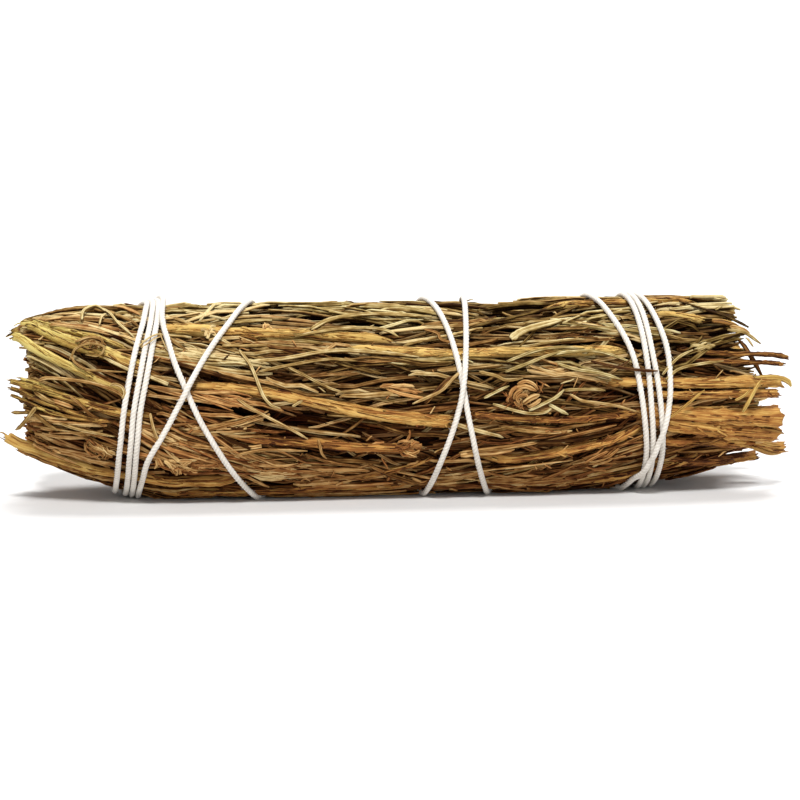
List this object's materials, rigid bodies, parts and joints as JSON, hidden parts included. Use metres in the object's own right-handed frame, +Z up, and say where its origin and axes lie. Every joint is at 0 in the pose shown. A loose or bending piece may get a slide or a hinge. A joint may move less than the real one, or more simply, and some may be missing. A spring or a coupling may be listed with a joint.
{
  "type": "smudge stick",
  "caption": "Bundle of dried needle-leaved herb sprigs lying on its side, wound along its length and tied with one white cotton string.",
  "frame": {"origin": "on the surface that the bundle lies on, under the middle of its box", "axes": "+X along the bundle towards the end with the thick split stem, -Y the front with the two crossings of the string, +Z up"},
  "size_m": [0.221, 0.0608, 0.0554],
  "materials": {
    "dried_sprig": "dry matt needle leaves, olive brown to orange brown, on golden brown woody stems",
    "cotton_string": "matt twisted off-white cotton"
  },
  "bodies": {
    "root": {"sprig_top_2": "dried_sprig", "sprig_top_3": "dried_sprig", "sprig_front_1": "dried_sprig", "sprig_front_2": "dried_sprig", "sprig_front_3": "dried_sprig", "sprig_front_4": "dried_sprig", "sprig_front_5": "dried_sprig", "sprig_front_6": "dried_sprig", "sprig_front_7": "dried_sprig", "sprig_front_8": "dried_sprig", "sprig_under_1": "dried_sprig", "sprig_under_2": "dried_sprig", "sprig_under_3": "dried_sprig", "sprig_under_4": "dried_sprig", "sprig_back_1": "dried_sprig", "sprig_back_2": "dried_sprig", "sprig_back_3": "dried_sprig", "sprig_back_4": "dried_sprig", "sprig_top_1": "dried_sprig", "sprig_inner_1": "dried_sprig", "sprig_inner_2": "dried_sprig", "sprig_inner_3": "dried_sprig", "sprig_inner_4": "dried_sprig", "sprig_inner_5": "dried_sprig", "sprig_inner_6": "dried_sprig", "sprig_inner_7": "dried_sprig", "sprig_centre": "dried_sprig", "binding_string": "cotton_string"}
  },
  "joints": []
}
